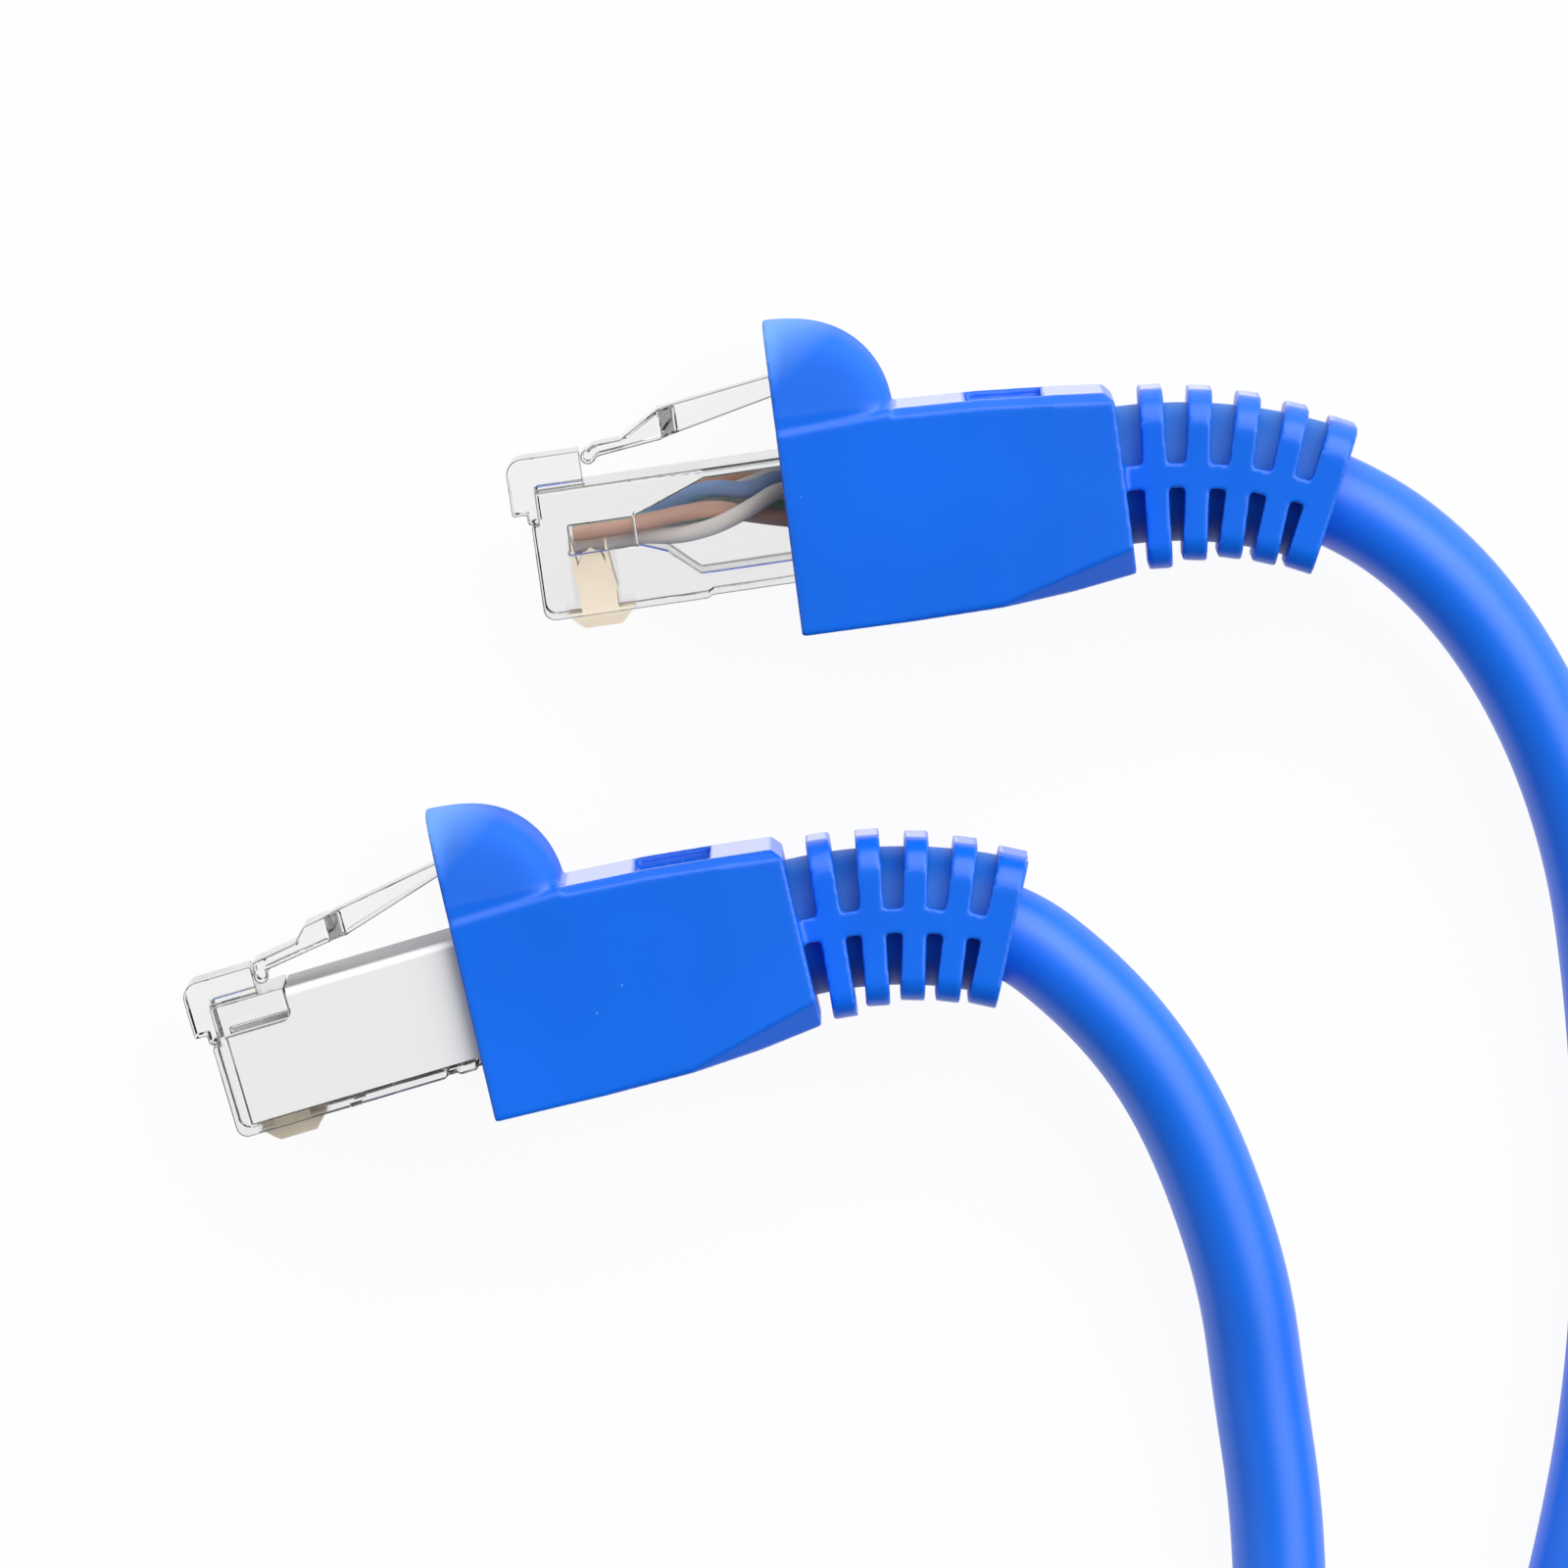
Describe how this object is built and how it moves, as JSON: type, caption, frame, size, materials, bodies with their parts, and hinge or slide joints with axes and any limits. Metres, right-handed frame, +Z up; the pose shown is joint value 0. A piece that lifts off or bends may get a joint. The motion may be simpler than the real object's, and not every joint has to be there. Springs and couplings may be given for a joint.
{
  "type": "ethernet patch cable",
  "caption": "Blue ethernet patch cable with a latching modular plug in a snagless boot at each end, one clear and one metal-shielded, and its spare cord in a coil.",
  "frame": {"origin": "on the surface the cable lies on, under the middle of the two plugs and their boots", "axes": "+X from the plug noses towards the strain reliefs, +Y from the contact side towards the latch side, +Z up off the surface, across the width of the plugs"},
  "size_m": [0.0774, 0.1493, 0.0136],
  "materials": {
    "clear_plastic": "clear",
    "gold_plating": "plated",
    "copper": "drawn",
    "wire_white": "satin",
    "wire_orange": "satin",
    "wire_green": "satin",
    "wire_blue": "satin",
    "wire_brown": "satin",
    "boot_blue": "semi-matte moulded",
    "jacket_blue": "satin extruded",
    "shield_metal": "satin nickel plate",
    "tinned_wire": "tinned",
    "tie_black": "woven"
  },
  "bodies": {
    "cable": {"boot_a": "boot_blue", "boot_b": "boot_blue", "coil_tie": "tie_black", "contact_a1": "gold_plating", "contact_a2": "gold_plating", "contact_a3": "gold_plating", "contact_a4": "gold_plating", "contact_a5": "gold_plating", "contact_a6": "gold_plating", "contact_a7": "gold_plating", "contact_a8": "gold_plating", "contact_b1": "gold_plating", "contact_b2": "gold_plating", "contact_b3": "gold_plating", "contact_b4": "gold_plating", "contact_b5": "gold_plating", "contact_b6": "gold_plating", "contact_b7": "gold_plating", "contact_b8": "gold_plating", "copper_cores_a": "copper", "copper_cores_b": "copper", "cord_a": "jacket_blue", "cord_b": "jacket_blue", "cord_coil": "jacket_blue", "drain_wire_b": "tinned_wire", "hood_skirt_a": "boot_blue", "hood_skirt_b": "boot_blue", "housing_a": "clear_plastic", "housing_b": "clear_plastic", "jacket_end_a": "jacket_blue", "jacket_end_b": "jacket_blue", "shield_b": "shield_metal", "sleeve_a": "boot_blue", "sleeve_b": "boot_blue", "wire_a1": "wire_white", "wire_a2": "wire_orange", "wire_a3": "wire_white", "wire_a4": "wire_blue", "wire_a5": "wire_white", "wire_a6": "wire_green", "wire_a7": "wire_white", "wire_a8": "wire_brown", "wire_b1": "wire_white", "wire_b2": "wire_orange", "wire_b3": "wire_white", "wire_b4": "wire_blue", "wire_b5": "wire_white", "wire_b6": "wire_green", "wire_b7": "wire_white", "wire_b8": "wire_brown"},
    "latch_a": {"latch_a": "clear_plastic"},
    "hood_a": {"hood_a": "boot_blue"},
    "latch_b": {"latch_b": "clear_plastic"},
    "hood_b": {"hood_b": "boot_blue"}
  },
  "joints": [
    {"name": "hood_a_press", "type": "hinge", "parent": "cable", "child": "hood_a", "pos_m": [0.00632, 0.01685, 0.0068], "axis": [0, 0, 1], "range_deg": [0, 20], "stiffness_Nm_per_rad": 0.02, "deforming": ["hood_skirt_a"]},
    {"name": "latch_a_flex", "type": "hinge", "parent": "cable", "child": "latch_a", "pos_m": [-0.0094, 0.014, 0.0068], "axis": [0, 0, 1], "range_deg": [-10.5, 0], "stiffness_Nm_per_rad": 0.01},
    {"name": "hood_b_press", "type": "hinge", "parent": "cable", "child": "hood_b", "pos_m": [-0.01057, -0.00756, 0.0068], "axis": [0, 0, 1], "range_deg": [0, 20], "stiffness_Nm_per_rad": 0.02, "deforming": ["hood_skirt_b"]},
    {"name": "latch_b_flex", "type": "hinge", "parent": "cable", "child": "latch_b", "pos_m": [-0.02613, -0.01261, 0.0068], "axis": [0, 0, 1], "range_deg": [-10.5, 0], "stiffness_Nm_per_rad": 0.01}
  ],
  "couplings": [
    {"joint": "latch_a_flex", "follows": "hood_a_press", "ratio": -0.5},
    {"joint": "latch_b_flex", "follows": "hood_b_press", "ratio": -0.5}
  ]
}
